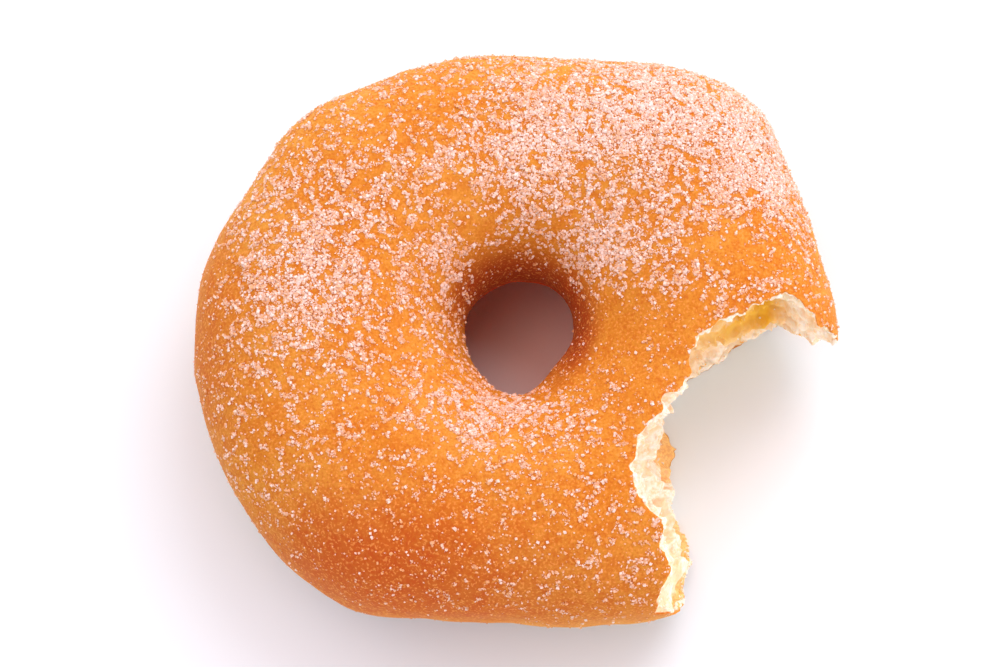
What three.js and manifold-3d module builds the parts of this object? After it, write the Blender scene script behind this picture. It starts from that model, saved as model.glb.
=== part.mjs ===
// A sugared ring doughnut with one bite taken out of it, lying flat. Millimetres, +Z up.
// The ring is a torus reshaped to an uneven outline, the bite is cut out of it with a craggy wall,
// and the largest clumps of sugar are fused to its crust.
import * as THREE from "three";
import { ImprovedNoise } from "three/addons/math/ImprovedNoise.js";
import { mergeVertices } from "three/addons/utils/BufferGeometryUtils.js";
import Module from "manifold-3d";

const wasm = await Module();
wasm.setup();
const noise = new ImprovedNoise();
const { clamp, degToRad, euclideanModulo, lerp, mapLinear, radToDeg, smoothstep } = THREE.MathUtils;

// Driving dimensions of the ring. Lists go round it anticlockwise from +X, in equal steps of angle.
const RING = {
  outline: [
    47.5, 46.5, 47.5, 50.5, 47.5, 43.5, 43, 43.5, 44.5, 46.5, 46.5, 48,
    48.5, 48.5, 48.5, 48.5, 47.5, 44, 43, 45, 47.5, 48, 48, 47.5,
  ],
  hole: [8.1, 9, 9.3, 8.6, 8.3, 8.5, 9.6, 7.1],
  crown: [30.5, 31, 31.5, 32, 31.5, 31, 31, 30.5],
  equator: 14.5, // height of the widest line
  sink: 1.2, // how far the underside would reach below the table if it weren't pressed flat
  outerFullness: 2.35, // superellipse powers of the section: 2 is a plain ellipse
  holeFullness: 2.05,
  unevenness: 0.6, // swells and dips of the crust
  swellLength: 13,
  steps: 88, // facets round the ring
  sectionSteps: 30, // facets round its section
};

// Driving dimensions of the bite. Its wall stands round the bite's centre. Each list goes from the far horn
// to the near one and pairs an angle about that centre with a size there, straight from one pair to the next.
const BITE = {
  centre: new THREE.Vector2(41, -19),
  // distance of the wall where it breaks the top crust
  rim: [
    [72, 18.3], [80, 18.2], [88, 20.5], [95, 22], [104, 21], [118, 20.5], [136, 21.5], [149, 18.4], [158, 19],
    [163, 20.8], [168, 20.2], [181, 24], [190, 25.2], [205, 24.5], [209, 23.3], [219, 25.6], [224, 26.2],
    [228, 30], [240, 33],
  ],
  // and where it breaks the bottom one
  foot: [
    [72, 23.8], [80, 22], [88, 22.6], [91, 23.8], [104, 22.8], [122, 21.1], [146, 22], [156, 21], [164, 17.5],
    [182, 18.3], [197, 19.1], [208, 18], [221, 19.5], [223, 21.8], [231, 25], [240, 30],
  ],
  footHeight: 20, // the wall has drawn back from the foot to the rim at this height
  // how far the soft crumb draws back between the two crusts
  undercut: [[88, 0.3], [97, 3], [132, 2.8], [150, 2.4], [165, 1.2], [200, 1], [230, 0]],
  undercutRise: 1.6, // power that moves the deepest line of the undercut up from the middle
  cragDepth: 0.9,
  cragLength: 3.4,
  fineCragDepth: 0.5,
  fineCragLength: 1.5,
  steps: 126,
  heightSteps: 22,
  clearance: 4, // how far the cut runs past the top and the underside
};

// Driving dimensions of the largest sugar clumps, blocks half sunk in the crust.
const SUGAR = {
  seed: 7,
  clumps: 100,
  smallest: 1,
  largest: 1.8,
  spacing: 3.2, // least distance between two clumps
  lowestTurn: -20, // they lie on the top and the upper sides, between these angles of the section
  highestTurn: 200,
  biteMargin: 2.5,
};

// A smooth value from sizes given at equal steps, with step 0 at the first of them.
function splineThrough(sizes) {
  const spline = new THREE.SplineCurve(sizes.map((size, step) => new THREE.Vector2(step, size)));
  return (step) => spline.getPoint(clamp(step / (sizes.length - 1), 0, 1)).y;
}

// The same round a closed ring, as a function of the angle.
function splineRound(sizes) {
  const lead = 2; // sizes repeated past each end, so that the seam is smooth
  const padded = [...sizes.slice(-lead), ...sizes, ...sizes.slice(0, lead + 1)];
  const valueAt = splineThrough(padded);
  return (angle) => valueAt(lead + euclideanModulo(angle / (2 * Math.PI), 1) * sizes.length);
}

const outlineAt = splineRound(RING.outline);
const holeAt = splineRound(RING.hole);
const crownAt = splineRound(RING.crown);

// Smooth noise of the given wavelength at a point, from about -1 to 1.
function noiseAt(point, wavelength) {
  return noise.noise(point.x / wavelength, point.y / wavelength, point.z / wavelength);
}

const signedPower = (value, power) => Math.sign(value) * Math.abs(value) ** power;

// One point of the crust. angle goes round the ring, turn round its section from the outer side over the top.
function crustPoint(angle, turn) {
  const side = Math.cos(turn);
  const rise = Math.sin(turn);
  const power = 2 / (side > 0 ? RING.outerFullness : RING.holeFullness);
  const reach = (outlineAt(angle) - holeAt(angle)) / 2;
  const span = rise > 0 ? crownAt(angle) - RING.equator : RING.equator + RING.sink;
  const radius = holeAt(angle) + reach + reach * signedPower(side, power);
  const height = RING.equator + span * signedPower(rise, power);
  const point = new THREE.Vector3(radius * Math.cos(angle), radius * Math.sin(angle), height);
  const swell = RING.unevenness * noiseAt(point, RING.swellLength);
  const outward = new THREE.Vector3(side * Math.cos(angle), side * Math.sin(angle), rise);
  point.addScaledVector(outward, swell);
  point.z = Math.max(point.z, 0); // pressed flat where it rests
  return point;
}

// Moves every vertex of a geometry to where place() puts it, given its own position and uv.
function reshape(geometry, place) {
  const { position, uv } = geometry.attributes;
  for (let i = 0; i < position.count; i++) {
    const from = new THREE.Vector3().fromBufferAttribute(position, i);
    const to = place(from, new THREE.Vector2().fromBufferAttribute(uv, i));
    position.setXYZ(i, to.x, to.y, to.z);
  }
  return geometry;
}

function solidFrom(geometry) {
  const seamGap = 1e-3; // vertices this close are the same one
  geometry.deleteAttribute("normal");
  geometry.deleteAttribute("uv");
  const merged = mergeVertices(geometry, seamGap);
  const vertProperties = merged.attributes.position.array;
  return new wasm.Manifold(
    new wasm.Mesh({ numProp: 3, vertProperties, triVerts: new Uint32Array(merged.index.array) }),
  );
}

function geometryFrom(solid) {
  const { vertProperties, triVerts } = solid.getMesh();
  const geometry = new THREE.BufferGeometry();
  geometry.setAttribute("position", new THREE.BufferAttribute(vertProperties, 3));
  geometry.setIndex(new THREE.BufferAttribute(triVerts, 1));
  geometry.computeVertexNormals();
  return geometry;
}

// The whole ring. The torus gives only the grid of faces: its uv says where each vertex goes.
function ringSolid() {
  const torus = new THREE.TorusGeometry(1, 0.5, RING.sectionSteps, RING.steps);
  return solidFrom(reshape(torus, (_, uv) => crustPoint(uv.x * 2 * Math.PI, uv.y * 2 * Math.PI)));
}

// The size at an angle in degrees, from pairs of an angle and a size.
function sizeAlong(pairs, degrees) {
  const next = pairs.findIndex(([angle]) => angle > degrees);
  if (next === 0) return pairs[0][1];
  if (next < 0) return pairs.at(-1)[1];
  const [fromAngle, from] = pairs[next - 1];
  const [toAngle, to] = pairs[next];
  return mapLinear(degrees, fromAngle, toAngle, from, to);
}

// One point of the bite's wall, at an angle about the bite's centre and a height above the table.
function biteWallPoint(angle, height) {
  const degrees = euclideanModulo(radToDeg(angle), 360);
  const drawnBack = smoothstep(height, 0, BITE.footHeight);
  const rise = clamp(height / Math.max(...RING.crown), 0, 1) ** BITE.undercutRise;
  const hollow = sizeAlong(BITE.undercut, degrees) * Math.sin(Math.PI * rise) ** 2;
  const radius = lerp(sizeAlong(BITE.foot, degrees), sizeAlong(BITE.rim, degrees), drawnBack) + hollow;
  const point = new THREE.Vector3(Math.cos(angle), Math.sin(angle), 0).multiplyScalar(radius);
  point.z = height;
  const crag = BITE.cragDepth * noiseAt(point, BITE.cragLength);
  const fineCrag = BITE.fineCragDepth * noiseAt(point, BITE.fineCragLength);
  const scale = (radius + crag + fineCrag) / radius;
  return new THREE.Vector3(BITE.centre.x + point.x * scale, BITE.centre.y + point.y * scale, height);
}

// The mouthful that is gone: a column whose side is the bite's wall and, where the ring ends, open air.
function biteSolid() {
  const low = -BITE.clearance;
  const high = Math.max(...RING.crown) + BITE.clearance;
  const column = new THREE.CylinderGeometry(1, 1, high - low, BITE.steps, BITE.heightSteps);
  column.rotateX(Math.PI / 2).translate(0, 0, (high + low) / 2);
  return solidFrom(
    reshape(column, (from) => {
      const share = Math.hypot(from.x, from.y); // 0 on the axis, 1 on the wall
      const wall = biteWallPoint(Math.atan2(from.y, from.x), from.z);
      return new THREE.Vector3(
        lerp(BITE.centre.x, wall.x, share),
        lerp(BITE.centre.y, wall.y, share),
        from.z,
      );
    }),
  );
}

// Whether a place on the crust is clear of the bite.
function outsideBite(point) {
  const fromCentre = new THREE.Vector2(point.x, point.y).sub(BITE.centre);
  const wall = biteWallPoint(fromCentre.angle(), point.z);
  return fromCentre.length() > BITE.centre.distanceTo(wall) + SUGAR.biteMargin;
}

// Sugar clumps spread over the crust: blocks of uneven size, each turned its own way.
function sugarSolids() {
  const random = THREE.MathUtils.seededRandom;
  random(SUGAR.seed);
  const places = [];
  while (places.length < SUGAR.clumps) {
    const angle = 2 * Math.PI * random();
    const turn = degToRad(lerp(SUGAR.lowestTurn, SUGAR.highestTurn, random()));
    const place = crustPoint(angle, turn);
    const clear = places.every((other) => other.distanceTo(place) > SUGAR.spacing);
    if (clear && outsideBite(place)) places.push(place);
  }
  return places.map((place) => {
    const sides = [0, 1, 2].map(() => lerp(SUGAR.smallest, SUGAR.largest, random()));
    const block = new THREE.BoxGeometry(...sides);
    const turns = [0, 1, 2].map(() => 2 * Math.PI * random());
    block.applyQuaternion(new THREE.Quaternion().setFromEuler(new THREE.Euler(...turns)));
    return solidFrom(block.translate(...place));
  });
}

const crust = new THREE.MeshStandardMaterial({ color: 0xe08a36, roughness: 0.55, metalness: 0 });
const bitten = ringSolid().subtract(biteSolid());
const sugared = sugarSolids().reduce((body, clump) => body.add(clump), bitten);
const doughnut = new THREE.Mesh(geometryFrom(sugared), crust);
doughnut.name = "doughnut";

// The origin is under the middle of the doughnut, on the table.
const group = new THREE.Group();
group.add(doughnut);
const box = new THREE.Box3().setFromObject(group);
const middle = box.getCenter(new THREE.Vector3());
group.position.set(-middle.x, -middle.y, -box.min.z);

export default group;
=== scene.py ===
import math

import bpy
import numpy as np
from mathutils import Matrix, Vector, noise
from mathutils.bvhtree import BVHTree


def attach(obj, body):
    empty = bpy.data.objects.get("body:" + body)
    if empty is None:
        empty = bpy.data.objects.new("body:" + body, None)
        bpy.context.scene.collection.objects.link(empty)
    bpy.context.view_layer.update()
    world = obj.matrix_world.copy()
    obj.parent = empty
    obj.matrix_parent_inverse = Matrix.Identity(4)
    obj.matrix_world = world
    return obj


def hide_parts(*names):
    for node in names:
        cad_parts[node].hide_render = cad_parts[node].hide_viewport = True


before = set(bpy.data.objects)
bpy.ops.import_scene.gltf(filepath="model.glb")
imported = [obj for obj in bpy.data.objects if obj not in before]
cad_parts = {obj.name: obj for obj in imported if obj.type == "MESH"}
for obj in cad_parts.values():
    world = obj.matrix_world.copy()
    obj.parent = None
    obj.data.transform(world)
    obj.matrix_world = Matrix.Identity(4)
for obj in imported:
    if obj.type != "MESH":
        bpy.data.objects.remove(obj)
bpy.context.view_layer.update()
mm = 0.001  # sizes below are in millimetres, meshes in metres

# camera, at the photograph's angle; the target is measured from the hole's axis
shot = {
    "elevation": 76,
    "distance": 520,
    "target": (-2.85, 0.70, 14.0),
    "pixelsPerMm": 20 / 3,
    "imageWidth": 1000,
    "sensorWidth": 36,
    "clipStart": 10,
}

# the dough ring; lists go round it anticlockwise from +X in equal steps
ring = {
    "axis": (0.886, 0.079, 0.0),  # where the hole's axis stands in the part's frame
    "outline": [47.5, 46.5, 47.5, 50.5, 47.5, 43.5, 43, 43.5, 44.5, 46.5, 46.5, 48,
                48.5, 48.5, 48.5, 48.5, 47.5, 44, 43, 45, 47.5, 48, 48, 47.5],
    "hole": [8.1, 9, 9.3, 8.6, 8.3, 8.5, 9.6, 7.1],
    "crown": [30.5, 31, 31.5, 32, 31.5, 31, 31, 30.5],
    "equator": 14.5,
    "sink": 1.2,  # how far the underside would reach below the table if it weren't pressed flat
    "outerFullness": 2.35,
    "holeFullness": 2.05,
    "relief": [(0.6, 13), (0.22, 6), (0.1, 2.6)],  # depth and length of the swells, dents and dimples
    "steps": 540,
    "sectionSteps": 170,
    "smoothAngle": 55,  # sharper edges than this stay edges
    "weldGap": 0.01,
}

# the bite; lists pair angles about its centre, from the far horn to the near one, with a size there
bite = {
    "centre": (41, -19),
    "rim": [(72, 18.3), (80, 18.2), (88, 20.5), (95, 22), (104, 21), (118, 20.5), (136, 21.5), (149, 18.4),
            (158, 19), (163, 20.8), (168, 20.2), (181, 24), (190, 25.2), (205, 24.5), (209, 23.3),
            (219, 25.6), (224, 26.2), (228, 30), (240, 33)],
    "foot": [(72, 23.8), (80, 22), (88, 22.6), (91, 23.8), (104, 22.8), (122, 21.1), (146, 22), (156, 21),
             (164, 17.5), (182, 18.3), (197, 19.1), (208, 18), (221, 19.5), (223, 21.8), (231, 25),
             (240, 30)],
    "footHeight": 20,  # the wall has drawn back from the foot to the rim at this height
    # how far the crumb draws back between the two crusts
    "undercut": [(88, 0.3), (97, 3), (132, 2.8), (150, 2.4), (165, 1.2), (200, 1), (230, 0)],
    "undercutRise": 1.6,  # power that moves the deepest line up from the middle
    "ledge": [(154, 0), (158, 1.8), (170, 1.7), (181, 0.9), (185, 0), (199, 0), (203, 0.9), (218, 0.7),
              (221, 0)],
    "ledgeHeight": 2.6,  # the bottom crust sticks out as ledges that are this thick
    "ledgeEdge": (0.5, 1.2),  # shares of that height between which a ledge ends
    "lip": 0.5,  # the crust tears back a little further than the crumb under it
    "lipHeight": 0.9,
    # depth and length of the crags, and the share of them that is left where the crust breaks
    "crags": [(1.2, 7.0, 0.0), (1.1, 3.4, 0.4), (0.7, 1.5, 0.8), (0.32, 0.75, 1.0)],
    "crumbStarts": (0.2, 1.5),  # distances from the crusts between which the crumb gets all of its relief
    "wallRadius": 22,  # what turns angles along the wall into lengths for the pores
    "pores": 1600,
    "poreRadius": (0.35, 2.3),
    "poreDepth": 0.9,  # of the radius
    "poreStretch": (0.6, 1.6),
    "poreRarity": 3,  # power that makes large pores rarer than small ones
    "poreSeed": 11,
    "fold": 0.35,  # sideways warp that makes the crumb overhang
    "foldLength": 1.8,
    "foldShift": 50,  # between the noises of the three directions
    "steps": 640,
    "rows": 140,
    "clearance": 4,
}


def noiseAt(points, length):
    return np.array([noise.noise(point) for point in (points / length).tolist()])


def signedPower(value, power):
    return np.sign(value) * np.abs(value) ** power


def smoothStep(value, low, high):
    share = np.clip((value - low) / (high - low), 0, 1)
    return share * share * (3 - 2 * share)


def curveBetween(before, start, end, after, share):
    slopeIn, slopeOut = (end - before) / 2, (after - start) / 2
    return (start + slopeIn * share
            + (3 * (end - start) - 2 * slopeIn - slopeOut) * share ** 2
            + (2 * (start - end) + slopeIn + slopeOut) * share ** 3)


# smooth sizes at angles round a closed list
def smoothRound(sizes, angle):
    sizes = np.asarray(sizes, float)
    step = angle / (2 * np.pi) * len(sizes)
    whole = np.floor(step).astype(int)
    around = [sizes[(whole + k) % len(sizes)] for k in (-1, 0, 1, 2)]
    return curveBetween(*around, step - whole)


# straight from one station of the bite to the next
def alongBite(stations, degrees):
    return np.interp(degrees, *zip(*stations))


def meshPoints(piece):
    points = np.empty(len(piece.data.vertices) * 3)
    piece.data.vertices.foreach_get("co", points)
    return points.reshape(-1, 3)


# points are in millimetres from the hole's axis
def movePoints(piece, points):
    piece.data.vertices.foreach_set("co", ((points + ring["axis"]) * mm).ravel())
    piece.data.update()


def ownPoints(piece):
    return meshPoints(piece) / mm - ring["axis"]


def deselectAll():
    if bpy.context.mode != "OBJECT":
        bpy.ops.object.mode_set(mode="OBJECT")
    bpy.ops.object.select_all(action="DESELECT")


def crustPoints(angle, turn):
    side, rise = np.cos(turn), np.sin(turn)
    power = 2 / np.where(side > 0, ring["outerFullness"], ring["holeFullness"])
    hole = smoothRound(ring["hole"], angle)
    reach = (smoothRound(ring["outline"], angle) - hole) / 2
    span = np.where(rise > 0, smoothRound(ring["crown"], angle) - ring["equator"],
                    ring["equator"] + ring["sink"])
    radius = hole + reach + reach * signedPower(side, power)
    height = ring["equator"] + span * signedPower(rise, power)
    points = np.stack([radius * np.cos(angle), radius * np.sin(angle), height], axis=1)
    outward = np.stack([side * np.cos(angle), side * np.sin(angle), rise], axis=1)
    swell = sum(depth * noiseAt(points, length) for depth, length in ring["relief"])
    points += outward * swell[:, None]
    points[:, 2] = np.maximum(points[:, 2], 0)
    return points


# heights of the top crust and the underside over places given in plan
def crustHeights(x, y):
    angle = np.arctan2(y, x)
    hole = smoothRound(ring["hole"], angle)
    reach = (smoothRound(ring["outline"], angle) - hole) / 2
    across = np.clip((np.hypot(x, y) - hole) / reach - 1, -1, 1)
    power = 2 / np.where(across > 0, ring["outerFullness"], ring["holeFullness"])
    rise = np.sqrt(1 - np.abs(across) ** (2 / power)) ** power
    top = ring["equator"] + (smoothRound(ring["crown"], angle) - ring["equator"]) * rise
    under = ring["equator"] - (ring["equator"] + ring["sink"]) * rise
    return top, np.maximum(under, 0)


def makeRing():
    deselectAll()
    bpy.ops.mesh.primitive_torus_add(major_segments=ring["steps"], minor_segments=ring["sectionSteps"],
                                     major_radius=1, minor_radius=0.5)
    body = bpy.context.object
    start = meshPoints(body)
    angle = np.arctan2(start[:, 1], start[:, 0])
    turn = np.arctan2(start[:, 2], np.hypot(start[:, 0], start[:, 1]) - 1)
    movePoints(body, crustPoints(angle, turn))
    return body


# how deep the gas cells of the crumb are at angles along the wall and heights up it
def poreDepths(degrees, height):
    draw = np.random.default_rng(bite["poreSeed"])
    smallest, largest = bite["poreRadius"]
    along = np.radians(degrees) * bite["wallRadius"]
    depths = np.zeros(len(along))
    for _ in range(bite["pores"]):
        placeAlong = draw.uniform(0, 2 * np.pi) * bite["wallRadius"]
        placeUp = draw.uniform(0, max(ring["crown"]))
        radius = smallest + (largest - smallest) * draw.random() ** bite["poreRarity"]
        stretch = draw.uniform(*bite["poreStretch"])
        aside, above = (along - placeAlong) / (radius * stretch), (height - placeUp) / radius * stretch
        roundness = np.sqrt(np.maximum(1 - (aside ** 2 + above ** 2), 0))
        depths = np.maximum(depths, bite["poreDepth"] * radius * roundness)
    return depths


def biteWallPoints(angle, height):
    degrees = np.degrees(angle) % 360
    foot, rim = alongBite(bite["foot"], degrees), alongBite(bite["rim"], degrees)
    drawnBack = smoothStep(height, 0, bite["footHeight"])
    ledgeLow, ledgeHigh = (share * bite["ledgeHeight"] for share in bite["ledgeEdge"])
    overLedge = smoothStep(height, ledgeLow, ledgeHigh)
    radius = foot + (rim - foot) * drawnBack
    radius = radius + alongBite(bite["ledge"], degrees) * overLedge * (1 - drawnBack)
    direction = np.stack([np.cos(angle), np.sin(angle)], axis=1)
    plan = bite["centre"] + direction * radius[:, None]
    top, under = crustHeights(*plan.T)
    between = np.clip((height - under) / np.maximum(top - under, 1), 0, 1)
    hollow = np.sin(np.pi * between ** bite["undercutRise"]) ** 2
    radius = radius + alongBite(bite["undercut"], degrees) * hollow
    radius = radius + bite["lip"] * np.exp(-np.maximum(top - height, 0) / bite["lipHeight"])
    wall = np.column_stack([direction * radius[:, None], height])
    inCrumb = smoothStep(np.minimum(top - height, height - under), *bite["crumbStarts"])
    for depth, length, atCrust in bite["crags"]:
        radius = radius + depth * noiseAt(wall, length) * (atCrust + (1 - atCrust) * inCrumb)
    radius = radius + poreDepths(degrees, height) * inCrumb
    wall = np.column_stack([bite["centre"] + direction * radius[:, None], height])
    sideways = [noiseAt(wall + bite["foldShift"] * (k + 1), bite["foldLength"]) for k in range(3)]
    return wall + bite["fold"] * np.stack(sideways, axis=1)


def makeMouthful():
    low, high = -bite["clearance"], max(ring["crown"]) + bite["clearance"]
    deselectAll()
    bpy.ops.mesh.primitive_cylinder_add(vertices=bite["steps"], radius=1, depth=high - low,
                                        end_fill_type="NGON", location=(0, 0, (high + low) / 2))
    bpy.ops.object.transform_apply(location=True)
    mouthful = bpy.context.object
    bpy.ops.object.mode_set(mode="EDIT")
    bpy.ops.mesh.select_mode(type="EDGE")
    bpy.ops.mesh.select_all(action="DESELECT")
    bpy.ops.object.mode_set(mode="OBJECT")
    ends = np.array([edge.vertices for edge in mouthful.data.edges])
    rise = np.diff(meshPoints(mouthful)[ends, 2], axis=1)[:, 0]
    mouthful.data.edges.foreach_set("select", np.abs(rise) > (high - low) / 2)  # the upright edges
    bpy.ops.object.mode_set(mode="EDIT")
    bpy.ops.mesh.subdivide(number_cuts=bite["rows"] - 1)
    bpy.ops.object.mode_set(mode="OBJECT")
    start = meshPoints(mouthful)
    movePoints(mouthful, biteWallPoints(np.arctan2(start[:, 1], start[:, 0]), start[:, 2]))
    return mouthful


def takeBite(body, mouthful):
    deselectAll()
    body.select_set(True)
    bpy.context.view_layer.objects.active = body
    cut = body.modifiers.new("bite", "BOOLEAN")
    cut.operation = "DIFFERENCE"
    cut.solver = "MANIFOLD"
    cut.object = mouthful
    bpy.ops.object.modifier_apply(modifier=cut.name)
    bpy.data.objects.remove(mouthful)
    bpy.ops.object.mode_set(mode="EDIT")
    bpy.ops.mesh.select_all(action="SELECT")
    bpy.ops.mesh.remove_doubles(threshold=ring["weldGap"] * mm)
    bpy.ops.mesh.quads_convert_to_tris()
    bpy.ops.mesh.normals_make_consistent(inside=False)
    bpy.ops.object.mode_set(mode="OBJECT")
    bpy.ops.object.shade_smooth_by_angle(angle=math.radians(ring["smoothAngle"]))


# distance of points in metres from the crust that the whole ring had, in millimetres
def depthBelow(wholeCrust, points):
    return np.array([wholeCrust.find_nearest(point)[3] for point in points.tolist()]) / mm


# keeps a value for each point of the body, for its finish
def note(name, values):
    body.data.attributes.new(name, "FLOAT", "POINT").data.foreach_set("value", values)


body = makeRing()
body.name = body.data.name = "doughnut_body"
wholeFaces = [face.vertices[:] for face in body.data.polygons]
wholeCrust = BVHTree.FromPolygons(meshPoints(body).tolist(), wholeFaces)
takeBite(body, makeMouthful())
bodyDepth = depthBelow(wholeCrust, meshPoints(body))
note("depth", bodyDepth)
print("dough ring with its bite:", len(body.data.polygons), "triangles")


# what the dough's finish reads: where the crust is browner or pale, where shade is painted on it, and how
# the crumb is tinted;
# each brown patch has a place, half widths and a share, and is partly browner crust and partly painted shade
baked = {
    "brownTint": [((-26, -36), (26, 9), 1.0), ((-47, -6), (6, 24), 0.65), ((-2, -44), (28, 6), 0.55)],
    "band": (10, 4.5),  # height of the paler band round the outside, and half its width
    "bandRing": (28, 36),  # distances from the hole's axis between which it comes
    "holeEdge": (13.2, 9.5),  # distances from the hole's axis between which the painted shade comes
    "holeTop": (30.5, 25),  # and heights
    "holeSide": 60,  # angle of the side that gets the painted shade
    "holeAround": (-1.0, 0.2),  # cosines of the angle from there between which the painted shade comes
    "paintedHoleGlow": (14, 9),  # heights between which the hole turns from painted shade to a painted red glow
    "holeRing": (24, 16),  # distances from the axis between which that starts
    "lipShade": [(88, 0), (98, 1), (114, 0.9), (124, 0.6), (150, 0)],  # painted shade on the crumb under the far rim's overhang, yellow like light through the crumb
    "lipShadeDepth": (8, 15, 19, 27),  # depths at which it starts, is full, fades and is gone
    "flaps": [(154, 0), (157, 1), (172, 1), (182, 0.8), (185, 0), (198, 0), (202, 1), (218, 1), (219.5, 0.2),
              (225, 1)],  # golden bits of torn crust by the foot
    "flapHeight": [(154, 6.5), (172, 5.5), (184, 3), (198, 3), (219.5, 3), (226, 9), (234, 13)],
    "flapEdge": (1.25, 0.75),  # shares of that height between which a flap starts
    "crustDepth": 0.03,  # nothing deeper than this is crust
    "tornDepth": 0.1,  # and all that is deeper than this is torn
}


# how far painted shade darkens the crust round the hole, on its far side
def holeShade(places):
    fromAxis = np.hypot(places[:, 0], places[:, 1])
    aside = np.arctan2(places[:, 1], places[:, 0]) - np.radians(baked["holeSide"])
    around = smoothStep(fromAxis, *baked["holeEdge"])
    around *= smoothStep(np.cos(aside), *baked["holeAround"])
    return around * smoothStep(places[:, 2], *baked["holeTop"])


# sugar; patches are where the crust is sugared, and bare ones where it isn't: place, half widths and share
sugar = {
    "patches": [
        ((20, 31), (20, 10), 0.75),
        ((2, 22), (8, 8), 0.4),
        ((37, 22), (7, 11), 0.5),
        ((26, 15), (12, 6), 0.25),
        ((12, 10), (7, 5), 0.55),
        ((-31, 6), (9, 10), 0.5),
        ((-11, 5), (4, 8), 0.3),
        ((-22, 20), (17, 9), 0.17),
        ((-24, -3), (8, 10), 0.14),
        ((-38, -10), (7, 9), 0.1),
        ((-4, -14), (11, 4.5), 0.45),
        ((6, -22), (10, 7), 0.07),
        ((21, 8), (9, 5), 0.36),
        ((30, 3), (6, 2.5), 0.22),
        ((15, -28), (6, 8), 0.16),
    ],
    "everywhere": 0.07,
    "bare": [
        ((32, 9), (9, 4.5), 1.0),
        ((16, -1), (7, 8), 0.8),
        ((-47, 8), (5, 26), 0.85),
        ((-26, -36), (18, 8), 0.75),
        ((0, -34), (30, 8), 0.3),
        ((4, 3), (7, 8), 0.9),
        ((14, -15), (5, 9), 0.45),
    ],
    "clumpLengths": [(0.17, 4.0), (0.44, 1.2), (0.39, 0.57)],  # share and length of the clumps' unevenness
    "clumpEdge": 0.2,  # how softly a clump ends, as a share of the crust
    "thinnest": 0.1,  # clumps thin out where they cover less than this share
    "fullest": 0.82,  # and leave bare spots where they would cover more than this
    "strays": 0.011,  # chance of a grain outside the clumps
    "sides": 0.12,  # share that steep sides and the underside keep
    "holeBare": 0.75,  # share that the side of the hole with painted shade lacks
    "lowest": 0.9,  # none lies between the underside and the table
    "rests": (-0.1, 0.7),  # upward parts of the normal between which sugar comes to rest
    "mostCovered": 0.9,
    "gapShadeShares": (0.1, 0.6),  # shares between which the crust under the clumps gets painted shade between the grains
    "stretch": (0.75, 1.25),  # of a grain's three sides
    "chipped": (0.75, 1.15),  # distances of its corners
    "tone": (0.3, 0.45, 0.9),  # of a stray grain, more where sugar is thick, and spread of the tones
    "tries": 10,  # for each grain
}

# the kinds of grain: the lift is a share of the size, the spread widens the clumps that it lies in
sugarKinds = {
    "sugar_dust": {"count": 48000, "shape": "splinter", "size": (0.15, 0.28),
                   "lift": 0.05, "spread": 1.6, "seed": 2},
    "sugar_fine": {"count": 24000, "shape": "crystal", "size": (0.22, 0.36),
                   "lift": 0.0, "spread": 1.2, "seed": 3},
    "sugar_coarse": {"count": 15000, "shape": "cube", "size": (0.22, 0.36),
                     "lift": 0.0, "spread": 1.0, "seed": 5},
    "sugar_heaped": {"count": 6000, "shape": "cube", "size": (0.24, 0.4),
                     "lift": 0.35, "spread": 0.6, "seed": 9},
}


def patchSum(places, patches):
    total = np.zeros(len(places))
    for (x, y), (halfX, halfY), share in patches:
        away = ((places[:, 0] - x) / halfX) ** 2 + ((places[:, 1] - y) / halfY) ** 2
        total += share * np.exp(-away)
    return total


# share of the crust that sugar covers at places with these normals
def sugarShare(places, normals):
    share = sugar["everywhere"] + patchSum(places, sugar["patches"])
    share *= 1 - np.minimum(patchSum(places, sugar["bare"]), 1)
    share *= 1 - sugar["holeBare"] * holeShade(places)
    facing = smoothStep(normals[:, 2], *sugar["rests"])
    return np.clip(share, 0, sugar["mostCovered"]) * (sugar["sides"] + (1 - sugar["sides"]) * facing)


def clumpNoise(places):
    return sum(share * noiseAt(places, length) for share, length in sugar["clumpLengths"])


# how surely a place lies in a clump, when clumps cover this share of the crust
def inClump(places, share):
    rank = np.searchsorted(clumpOrder, clumpNoise(places)) / len(clumpOrder)
    inside = smoothStep(rank, 1 - share - sugar["clumpEdge"], 1 - share + sugar["clumpEdge"])
    return inside * np.minimum(share / sugar["thinnest"], 1)


# corner places of the body's triangles whose corners' depths are wanted
def bodyTriangles(wanted):
    body.data.calc_loop_triangles()
    corners = np.empty(len(body.data.loop_triangles) * 3, int)
    body.data.loop_triangles.foreach_get("vertices", corners)
    corners = corners.reshape(-1, 3)
    return ownPoints(body)[corners[wanted(bodyDepth[corners])]]


def turnsFrom(draw, count):
    spin = draw.normal(size=(count, 4))
    w, x, y, z = (spin / np.linalg.norm(spin, axis=1)[:, None]).T
    return np.stack([
        np.stack([1 - 2 * (y * y + z * z), 2 * (x * y - z * w), 2 * (x * z + y * w)], axis=1),
        np.stack([2 * (x * y + z * w), 1 - 2 * (x * x + z * z), 2 * (y * z - x * w)], axis=1),
        np.stack([2 * (x * z - y * w), 2 * (y * z + x * w), 1 - 2 * (x * x + y * y)], axis=1),
    ], axis=1)


# many copies of one closed block, each at its own place, as one mesh with a tone for each copy
def joinedGrains(name, block, blockFaces, places, sizes, turns, tones):
    corners = np.einsum("nij,nkj->nki", turns, block * sizes[:, None, :]) + places[:, None, :]
    firsts = np.arange(len(places)) * block.shape[1]
    faces = (firsts[:, None, None] + blockFaces).reshape(-1, blockFaces.shape[1])
    mesh = bpy.data.meshes.new(name)
    mesh.from_pydata(((corners.reshape(-1, 3) + ring["axis"]) * mm).tolist(), [], faces.tolist())
    cornerTones = np.repeat(tones, block.shape[1])
    mesh.attributes.new("tone", "FLOAT", "POINT").data.foreach_set("value", cornerTones)
    piece = bpy.data.objects.new(name, mesh)
    bpy.context.scene.collection.objects.link(piece)
    return piece


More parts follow.
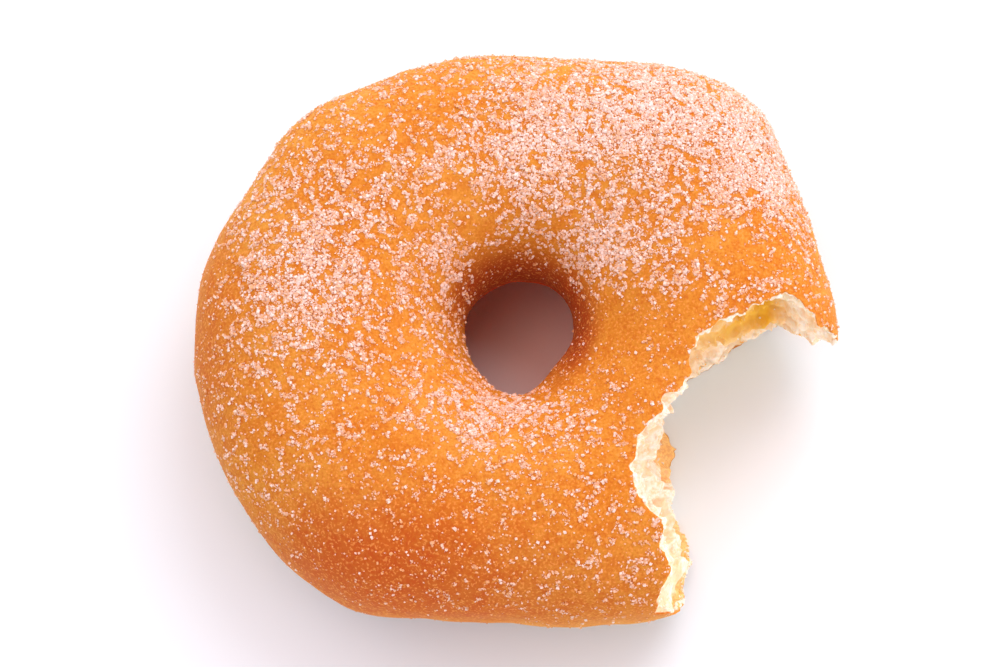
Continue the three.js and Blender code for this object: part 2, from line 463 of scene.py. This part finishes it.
# corners and faces of the grains' shapes, about one unit wide
grainShapes = {
    "cube": (np.array([(x, y, z) for z in (-0.5, 0.5) for y in (-0.5, 0.5) for x in (-0.5, 0.5)]),
             np.array([(0, 2, 3, 1), (4, 5, 7, 6), (0, 1, 5, 4),
                       (2, 6, 7, 3), (0, 4, 6, 2), (1, 3, 7, 5)])),
    "crystal": (np.vstack([np.eye(3), -np.eye(3)]) * 0.62,
                np.array([(0, 1, 2), (1, 3, 2), (3, 4, 2), (4, 0, 2),
                          (1, 0, 5), (3, 1, 5), (4, 3, 5), (0, 4, 5)])),
    "splinter": (np.array([(1, 1, 1), (1, -1, -1), (-1, 1, -1), (-1, -1, 1)]) * 0.45,
                 np.array([(0, 1, 2), (0, 3, 1), (0, 2, 3), (1, 3, 2)])),
}


def makeSugar(name, kind, triangles):
    draw = np.random.default_rng(kind["seed"])
    edges = np.cross(triangles[:, 1] - triangles[:, 0], triangles[:, 2] - triangles[:, 0])
    areas = np.linalg.norm(edges, axis=1)
    normals = edges / np.maximum(areas, 1e-9)[:, None]  # a sliver has no normal
    tries = sugar["tries"] * kind["count"]
    chosen = np.searchsorted(np.cumsum(areas) / areas.sum(), draw.random(tries))
    chosen = np.minimum(chosen, len(areas) - 1)
    first, second = np.sqrt(draw.random(tries)), draw.random(tries)
    shares = np.stack([1 - first, first * (1 - second), first * second], axis=1)
    places = np.einsum("nk,nkj->nj", shares, triangles[chosen])
    normals = normals[chosen]
    share = sugarShare(places, normals)
    covered = np.minimum(share * kind["spread"], sugar["fullest"])
    chance = inClump(places, covered) + sugar["strays"] * smoothStep(normals[:, 2], *sugar["rests"])
    chance = chance * (places[:, 2] > sugar["lowest"])
    taken = np.flatnonzero(draw.random(tries) < chance)[:kind["count"]]
    places, normals = places[taken], normals[taken]
    count = len(places)
    smallest, largest = kind["size"]
    widths = smallest + (largest - smallest) * draw.random(count)
    sizes = widths[:, None] * draw.uniform(*sugar["stretch"], (count, 3))
    corners, faces = grainShapes[kind["shape"]]
    block = corners * draw.uniform(*sugar["chipped"], (count, len(corners), 1))
    places = places + normals * (kind["lift"] * sizes.mean(axis=1))[:, None]
    stray, thick, spread = sugar["tone"]
    tones = stray + thick * share[taken] + spread * (draw.random(count) - 0.5)
    print(name, count, "grains")
    return joinedGrains(name, block, faces, places, sizes, turnsFrom(draw, count), tones)


def noteCrust():
    places = ownPoints(body)
    normals = np.empty(len(places) * 3)
    body.data.vertices.foreach_get("normal", normals)
    share = sugarShare(places, normals.reshape(-1, 3))
    # painted shade between the sugar grains, under the thicker clumps
    note("grainGapShade", inClump(places, share) * smoothStep(share, *sugar["gapShadeShares"]))
    fromAxis = np.hypot(places[:, 0], places[:, 1])
    # painted shade on the crust round the far side of the hole
    note("paintedHoleShade", holeShade(places))
    # a painted red glow low in the hole, which also bounces red light onto the floor there
    inRing = smoothStep(fromAxis, *baked["holeRing"])
    note("paintedHoleGlow", inRing * smoothStep(places[:, 2], *baked["paintedHoleGlow"]))
    # brown patches on the sides away from the lamp: partly browner crust, partly painted shade
    note("brownTint", np.minimum(patchSum(places, baked["brownTint"]), 1))
    height, halfWidth = baked["band"]
    outside = smoothStep(fromAxis, *baked["bandRing"])
    note("band", np.exp(-((places[:, 2] - height) / halfWidth) ** 2) * outside)
    fromBite = places[:, :2] - bite["centre"]
    degrees = np.degrees(np.arctan2(fromBite[:, 1], fromBite[:, 0])) % 360
    top, under = crustHeights(places[:, 0], places[:, 1])
    # painted shade under the far rim's overhang
    comes, full, fades, gone = baked["lipShadeDepth"]
    below = smoothStep(top - places[:, 2], comes, full) * smoothStep(top - places[:, 2], gone, fades)
    note("lipShade", alongBite(baked["lipShade"], degrees) * below)
    flapHeight = alongBite(baked["flapHeight"], degrees)
    inFlap = smoothStep(places[:, 2] / flapHeight, *baked["flapEdge"])
    note("flap", alongBite(baked["flaps"], degrees) * inFlap)
    torn = bodyDepth > baked["tornDepth"]
    # painted shade in the pores, darker where they are deeper
    pores = np.zeros(len(places))
    pores[torn] = poreDepths(degrees[torn], places[torn, 2])
    note("poreShade", pores)


clumpOrder = np.sort(clumpNoise(ownPoints(body)))
noteCrust()
triangles = bodyTriangles(lambda depths: depths.max(axis=1) < baked["crustDepth"])
sugarPieces = [makeSugar(name, kind, triangles) for name, kind in sugarKinds.items()]


# torn bits of crumb and crust that cling to the bite's wall, most of them at its edges
crumbs = {
    "count": 1200,
    "size": (0.2, 0.8),
    "edgeDepth": 1.3,  # how deep the edges reach
    "edgeWeight": 60,
    "brownTint": 0.3,  # share of browned bits by the foot
    "footHeight": 6,
    "lowest": 1,
    "stretch": (0.6, 1.4),  # of a bit's three sides
    "lumpy": (0.7, 1.2),  # distances of its corners
    "roughness": 0.85,
    "shine": 0.1,
    "seed": 21,
}


def blobShape():
    deselectAll()
    bpy.ops.mesh.primitive_ico_sphere_add(subdivisions=1, radius=0.5)
    blob = bpy.context.object
    corners, faces = meshPoints(blob), np.array([face.vertices[:] for face in blob.data.polygons])
    bpy.data.objects.remove(blob)
    return corners, faces


def makeCrumbs():
    draw = np.random.default_rng(crumbs["seed"])
    wall = bodyTriangles(lambda depths: depths.min(axis=1) > baked["tornDepth"])
    areas = np.linalg.norm(np.cross(wall[:, 1] - wall[:, 0], wall[:, 2] - wall[:, 0]), axis=1)
    middles = wall.mean(axis=1)
    depths = depthBelow(wholeCrust, (middles + ring["axis"]) * mm)
    weights = areas * np.where(depths < crumbs["edgeDepth"], crumbs["edgeWeight"], 1)
    places = middles[draw.choice(len(wall), crumbs["count"], p=weights / weights.sum())]
    places = places[places[:, 2] > crumbs["lowest"]]
    count = len(places)
    smallest, largest = crumbs["size"]
    widths = smallest + (largest - smallest) * draw.random(count) ** 2  # most are small
    sizes = widths[:, None] * draw.uniform(*crumbs["stretch"], (count, 3))
    corners, faces = blobShape()
    block = corners * draw.uniform(*crumbs["lumpy"], (count, len(corners), 1))
    brown = (places[:, 2] < crumbs["footHeight"]) & (draw.random(count) < crumbs["brownTint"])
    print("crumbs", count)
    return joinedGrains("crumbs", block, faces, places, sizes, turnsFrom(draw, count), 1.0 - brown)


crumbPiece = makeCrumbs()


# shader maths: a socket of a material's nodes, with the arithmetic that the finishes use
class Wire:
    def __init__(self, tree, socket):
        self.tree = tree
        self.socket = socket

    def node(self, kind, settings, inputs, output=0):
        made = self.tree.nodes.new(kind)
        for name, value in settings.items():
            setattr(made, name, value)
        for key, value in inputs.items():
            if isinstance(value, Wire):
                self.tree.links.new(value.socket, made.inputs[key])
            else:
                made.inputs[key].default_value = value
        return Wire(self.tree, made.outputs[output])

    def math(self, operation, first, second):
        return self.node("ShaderNodeMath", {"operation": operation}, {0: first, 1: second})

    def __add__(self, other):
        return self.math("ADD", self, other)

    def __radd__(self, other):
        return self.math("ADD", other, self)

    def __sub__(self, other):
        return self.math("SUBTRACT", self, other)

    def __rsub__(self, other):
        return self.math("SUBTRACT", other, self)

    def __mul__(self, other):
        return self.math("MULTIPLY", self, other)

    def __rmul__(self, other):
        return self.math("MULTIPLY", other, self)

    def between(self, low, high):  # 0 at low and below, 1 at high and above, smooth in between
        return self.node("ShaderNodeMapRange", {"interpolation_type": "SMOOTHSTEP"},
                         {"Value": self, "From Min": low, "From Max": high})

    def mix(self, first, second):  # colours, by this share of the second
        return self.node("ShaderNodeMix", {"data_type": "RGBA"}, {0: self, 6: first, 7: second}, output=2)

    def noise(self, length, detail=2.0, roughness=0.5):  # length in millimetres
        return self.node("ShaderNodeTexNoise", {}, {"Vector": self, "Scale": 1 / (length * mm),
                                                    "Detail": detail, "Roughness": roughness})


def newFinish(name):
    material = bpy.data.materials.new(name)
    material.use_nodes = True
    tree = material.node_tree
    tree.nodes.clear()
    shader = tree.nodes.new("ShaderNodeBsdfPrincipled")
    output = tree.nodes.new("ShaderNodeOutputMaterial")
    tree.links.new(shader.outputs["BSDF"], output.inputs["Surface"])
    coordinates = tree.nodes.new("ShaderNodeTexCoord")
    return material, shader, Wire(tree, coordinates.outputs["Object"])


def attributeOf(place, name):
    return place.node("ShaderNodeAttribute", {"attribute_name": name}, {}, output=2)


def plug(place, shader, **sockets):
    for name, value in sockets.items():
        place.tree.links.new(value.socket, shader.inputs[name])


doughColours = {
    "orange": (0.59, 0.215, 0.020, 1),
    "gold": (0.635, 0.28, 0.038, 1),
    "brown": (0.47, 0.088, 0.013, 1),
    # painted shade on the far side of the hole
    "holeShadeBrown": (0.31, 0.038, 0.010, 1),
    # painted red glow low in the hole
    "holeGlowRed": (0.90, 0.08, 0.008, 1),
    "band": (0.76, 0.35, 0.06, 1),
    "fleck": (0.76, 0.33, 0.085, 1),
    # painted shade between the sugar grains
    "grainGapShade": (0.44, 0.175, 0.085, 1),
    "flap": (0.95, 0.57, 0.17, 1),
    "flapSpeck": (0.82, 0.40, 0.10, 1),
    # painted shade under the far rim, yellow like light through the crumb
    "lipShade": (0.82, 0.46, 0.04, 1),
    "crumb": (0.85, 0.64, 0.38, 1),
    # painted shade in the pores
    "poreShade": (0.88, 0.60, 0.30, 1),
    "crumbPale": (0.93, 0.86, 0.74, 1),
}


# lengths of the mottling, shares of the tints and of the painted shade, and how rough the crust and the
# crumb are
doughLook = {
    "broad": 16,
    "mottle": 2.2,
    "speck": 0.5,
    "fleck": 0.4,
    "freckles": 0.25,
    # share of the brown patches, which are partly painted shade
    "brownTint": 0.88,
    "holeShadeShare": 0.9,
    "band": 0.7,
    "darkFlecks": 0.4,
    "paleFlecks": 0.55,
    # share of the painted shade between the sugar grains
    "grainGapShade": 0.7,
    # share of the painted shade in the pores
    "pores": 0.6,
    "flaps": 0.8,
    "crumbDepth": (0.12, 0.4),  # depths between which crust turns to crumb
    "poreDepth": (0.15, 1.1),  # and between which a pore gets its painted shade
    "shine": 0.05,
    "softness": 0.35,  # share of the light that goes through the surface
    "softRadius": (1.0, 0.6, 0.35),
    "softScale": 1.0,
    "bump": 0.4,
    "bumpDepth": 0.3,
    "crustRelief": 0.4,
    "crumbRelief": 0.4,  # more than the crust has
    "crustRoughness": 0.55,
    "crumbRoughness": 0.3,  # more than the crust has
}


def doughFinish():
    material, shader, place = newFinish("dough")
    depth = attributeOf(place, "depth")
    broad = place.noise(doughLook["broad"], detail=3)
    mottle = place.noise(doughLook["mottle"], detail=3, roughness=0.6)
    speck = place.noise(doughLook["speck"], detail=2)
    golden = (broad * 0.6 + mottle * 0.4).between(0.4, 0.62)
    crust = golden.mix(doughColours["orange"], doughColours["gold"])
    freckles = (mottle * 0.5 + speck * 0.5).between(0.55, 0.38) * doughLook["freckles"]
    # random freckles, and brown patches that are partly browner crust and partly painted shade on the sides
    # away from the lamp
    brownTint = freckles + attributeOf(place, "brownTint") * doughLook["brownTint"]
    crust = brownTint.mix(crust, doughColours["brown"])
    # painted shade on the far side of the hole
    crust = (attributeOf(place, "paintedHoleShade") * doughLook["holeShadeShare"]).mix(crust, doughColours["holeShadeBrown"])
    # painted red glow low in the hole
    crust = attributeOf(place, "paintedHoleGlow").mix(crust, doughColours["holeGlowRed"])
    band = attributeOf(place, "band") * (broad * 0.5 + mottle * 0.5).between(0.3, 0.65)
    crust = (band * doughLook["band"]).mix(crust, doughColours["band"])
    fleck = place.noise(doughLook["fleck"], detail=1)
    crust = (fleck.between(0.44, 0.32) * doughLook["darkFlecks"]).mix(crust, doughColours["brown"])
    crust = (fleck.between(0.55, 0.66) * doughLook["paleFlecks"]).mix(crust, doughColours["fleck"])
    # painted shade in specks between the sugar grains
    dust = attributeOf(place, "grainGapShade") * speck.between(0.36, 0.56)
    crust = (dust * doughLook["grainGapShade"]).mix(crust, doughColours["grainGapShade"])
    pale = (mottle * 0.5 + speck * 0.5).between(0.35, 0.59)
    crumb = pale.mix(doughColours["crumb"], doughColours["crumbPale"])
    # painted shade in the pores of the crumb
    poreShade = attributeOf(place, "poreShade").between(*doughLook["poreDepth"])
    crumb = (poreShade * doughLook["pores"]).mix(crumb, doughColours["poreShade"])
    # painted shade under the far rim's overhang, yellow like light through the crumb
    lipShade = attributeOf(place, "lipShade") * (depth + mottle).between(1.0, 2.2) * mottle.between(0.2, 0.45)
    crumb = lipShade.mix(crumb, doughColours["lipShade"])
    inside = (depth + (mottle - 0.5) * 0.4).between(*doughLook["crumbDepth"])
    torn = (attributeOf(place, "flap") + (mottle - 0.5) * 1.6 + (fleck - 0.5) * 0.6).between(0.4, 0.8)
    flap = fleck.between(0.42, 0.6).mix(doughColours["flap"], doughColours["flapSpeck"])
    crumb = (torn * doughLook["flaps"]).mix(crumb, flap)
    colour = inside.mix(crust, crumb)
    shader.inputs["Specular IOR Level"].default_value = doughLook["shine"]
    shader.inputs["Subsurface Weight"].default_value = doughLook["softness"]
    shader.inputs["Subsurface Radius"].default_value = doughLook["softRadius"]
    shader.inputs["Subsurface Scale"].default_value = doughLook["softScale"] * mm
    height = (speck + mottle) * (doughLook["crustRelief"] + inside * doughLook["crumbRelief"])
    relief = place.node("ShaderNodeBump", {}, {"Strength": doughLook["bump"], "Height": height,
                                               "Distance": doughLook["bumpDepth"] * mm})
    rough = doughLook["crustRoughness"] + inside * doughLook["crumbRoughness"]
    plug(place, shader, **{"Base Color": colour, "Roughness": rough, "Normal": relief})
    return material


sugarLook = {
    "clear": (0.74, 0.38, 0.17, 1),
    "white": (0.86, 0.73, 0.69, 1),
    "tones": (0.0, 0.9),  # at which a grain is clear and white
    "roughness": 0.35,
}


def sugarFinish():
    material, shader, place = newFinish("sugar")
    tone = attributeOf(place, "tone")
    colour = tone.between(*sugarLook["tones"]).mix(sugarLook["clear"], sugarLook["white"])
    shader.inputs["Roughness"].default_value = sugarLook["roughness"]
    plug(place, shader, **{"Base Color": colour})
    return material


def crumbFinish():
    material, shader, place = newFinish("crumbs")
    tone = attributeOf(place, "tone")
    shader.inputs["Roughness"].default_value = crumbs["roughness"]
    shader.inputs["Specular IOR Level"].default_value = crumbs["shine"]
    plug(place, shader, **{"Base Color": tone.mix(doughColours["flap"], doughColours["crumbPale"])})
    return material


body.data.materials.clear()
body.data.materials.append(doughFinish())
crumbPiece.data.materials.append(crumbFinish())
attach(crumbPiece, "root")
sugarMaterial = sugarFinish()
for piece in sugarPieces:
    piece.data.materials.append(sugarMaterial)
    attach(piece, "root")
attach(body, "root")
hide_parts("doughnut")
print("finishes are on")


# studio: a lamp behind the doughnut, and a pale room whose walls and ceiling are each brighter on one side
light = {
    "key": {"place": (230, 420, 530), "size": 500, "watts": 1.85},
    "walls": 1.6,
    "wallSlope": 0.2,  # how much brighter the walls are towards wallSide, and darker opposite
    "wallSide": (0.97, 0.0),
    "wallColours": ((0.70, 0.99, 1.11, 1), (1.03, 0.95, 0.97, 1)),  # opposite wallSide, and there
    "wallBlend": (-0.9, 0.3),  # parts of wallSide between which one turns to the other
    "ceiling": 0.9,
    "ceilingSlope": 4.2,  # the same for the ceiling, which lights the hole
    "ceilingSide": (-0.62, 0.78),
    "ceilingColour": (1.12, 0.56, 0.46, 1),
    "wallTop": 0.55,  # sine of the height at which the walls start to turn to ceiling
    "ceilingEdge": 0.92,  # and where they have
    "floorSize": 6000,
    "floorColour": (0.78, 0.92, 1.0, 1),
    "floorRoughness": 0.9,
    "floorShine": 0.1,
}


def makeStudio():
    deselectAll()
    bpy.ops.mesh.primitive_plane_add(size=light["floorSize"] * mm)
    floor = bpy.context.object
    floor.name = "floor"
    material, shader, place = newFinish("floor")
    shader.inputs["Base Color"].default_value = light["floorColour"]
    shader.inputs["Roughness"].default_value = light["floorRoughness"]
    shader.inputs["Specular IOR Level"].default_value = light["floorShine"]
    floor.data.materials.append(material)
    key = light["key"]
    bpy.ops.object.light_add(type="AREA", location=Vector(key["place"]) * mm)
    lamp = bpy.context.object
    lamp.data.shape = "DISK"
    lamp.data.size = key["size"] * mm
    lamp.data.energy = key["watts"]
    lamp.rotation_euler = (-Vector(key["place"])).to_track_quat("-Z", "Y").to_euler()
    world = bpy.data.worlds.new("studio")
    bpy.context.scene.world = world
    world.use_nodes = True
    room = world.node_tree.nodes["Background"]
    coordinates = world.node_tree.nodes.new("ShaderNodeTexCoord")
    direction = Wire(world.node_tree, coordinates.outputs["Generated"])
    x, y, upward = (direction.node("ShaderNodeSeparateXYZ", {}, {0: direction}, output=axis)
                    for axis in range(3))
    overhead = upward.between(light["wallTop"], light["ceilingEdge"])
    towards = {side: x * light[side][0] + y * light[side][1] for side in ("wallSide", "ceilingSide")}
    walls = (1 + towards["wallSide"] * light["wallSlope"]) * light["walls"]
    ceiling = (1 + towards["ceilingSide"] * light["ceilingSlope"]) * light["ceiling"]
    brightness = walls + overhead * (ceiling.math("MAXIMUM", ceiling, 0.0) - walls)
    wallColour = towards["wallSide"].between(*light["wallBlend"]).mix(*light["wallColours"])
    colour = overhead.mix(wallColour, light["ceilingColour"])
    world.node_tree.links.new(colour.socket, room.inputs["Color"])
    world.node_tree.links.new(brightness.socket, room.inputs["Strength"])
    bpy.context.scene.view_settings.view_transform = "Standard"


def makeCamera():
    tilt = math.radians(shot["elevation"])
    target = (Vector(shot["target"]) + Vector(ring["axis"])) * mm
    back = Vector((0, -math.cos(tilt), math.sin(tilt)))
    bpy.ops.object.camera_add(location=target + back * shot["distance"] * mm)
    camera = bpy.context.object
    camera.rotation_euler = (-back).to_track_quat("-Z", "Y").to_euler()
    camera.data.sensor_width = shot["sensorWidth"]
    camera.data.lens = shot["distance"] * shot["pixelsPerMm"] * shot["sensorWidth"] / shot["imageWidth"]
    camera.data.clip_start = shot["clipStart"] * mm
    bpy.context.scene.camera = camera


makeStudio()
makeCamera()
print("scene is ready")
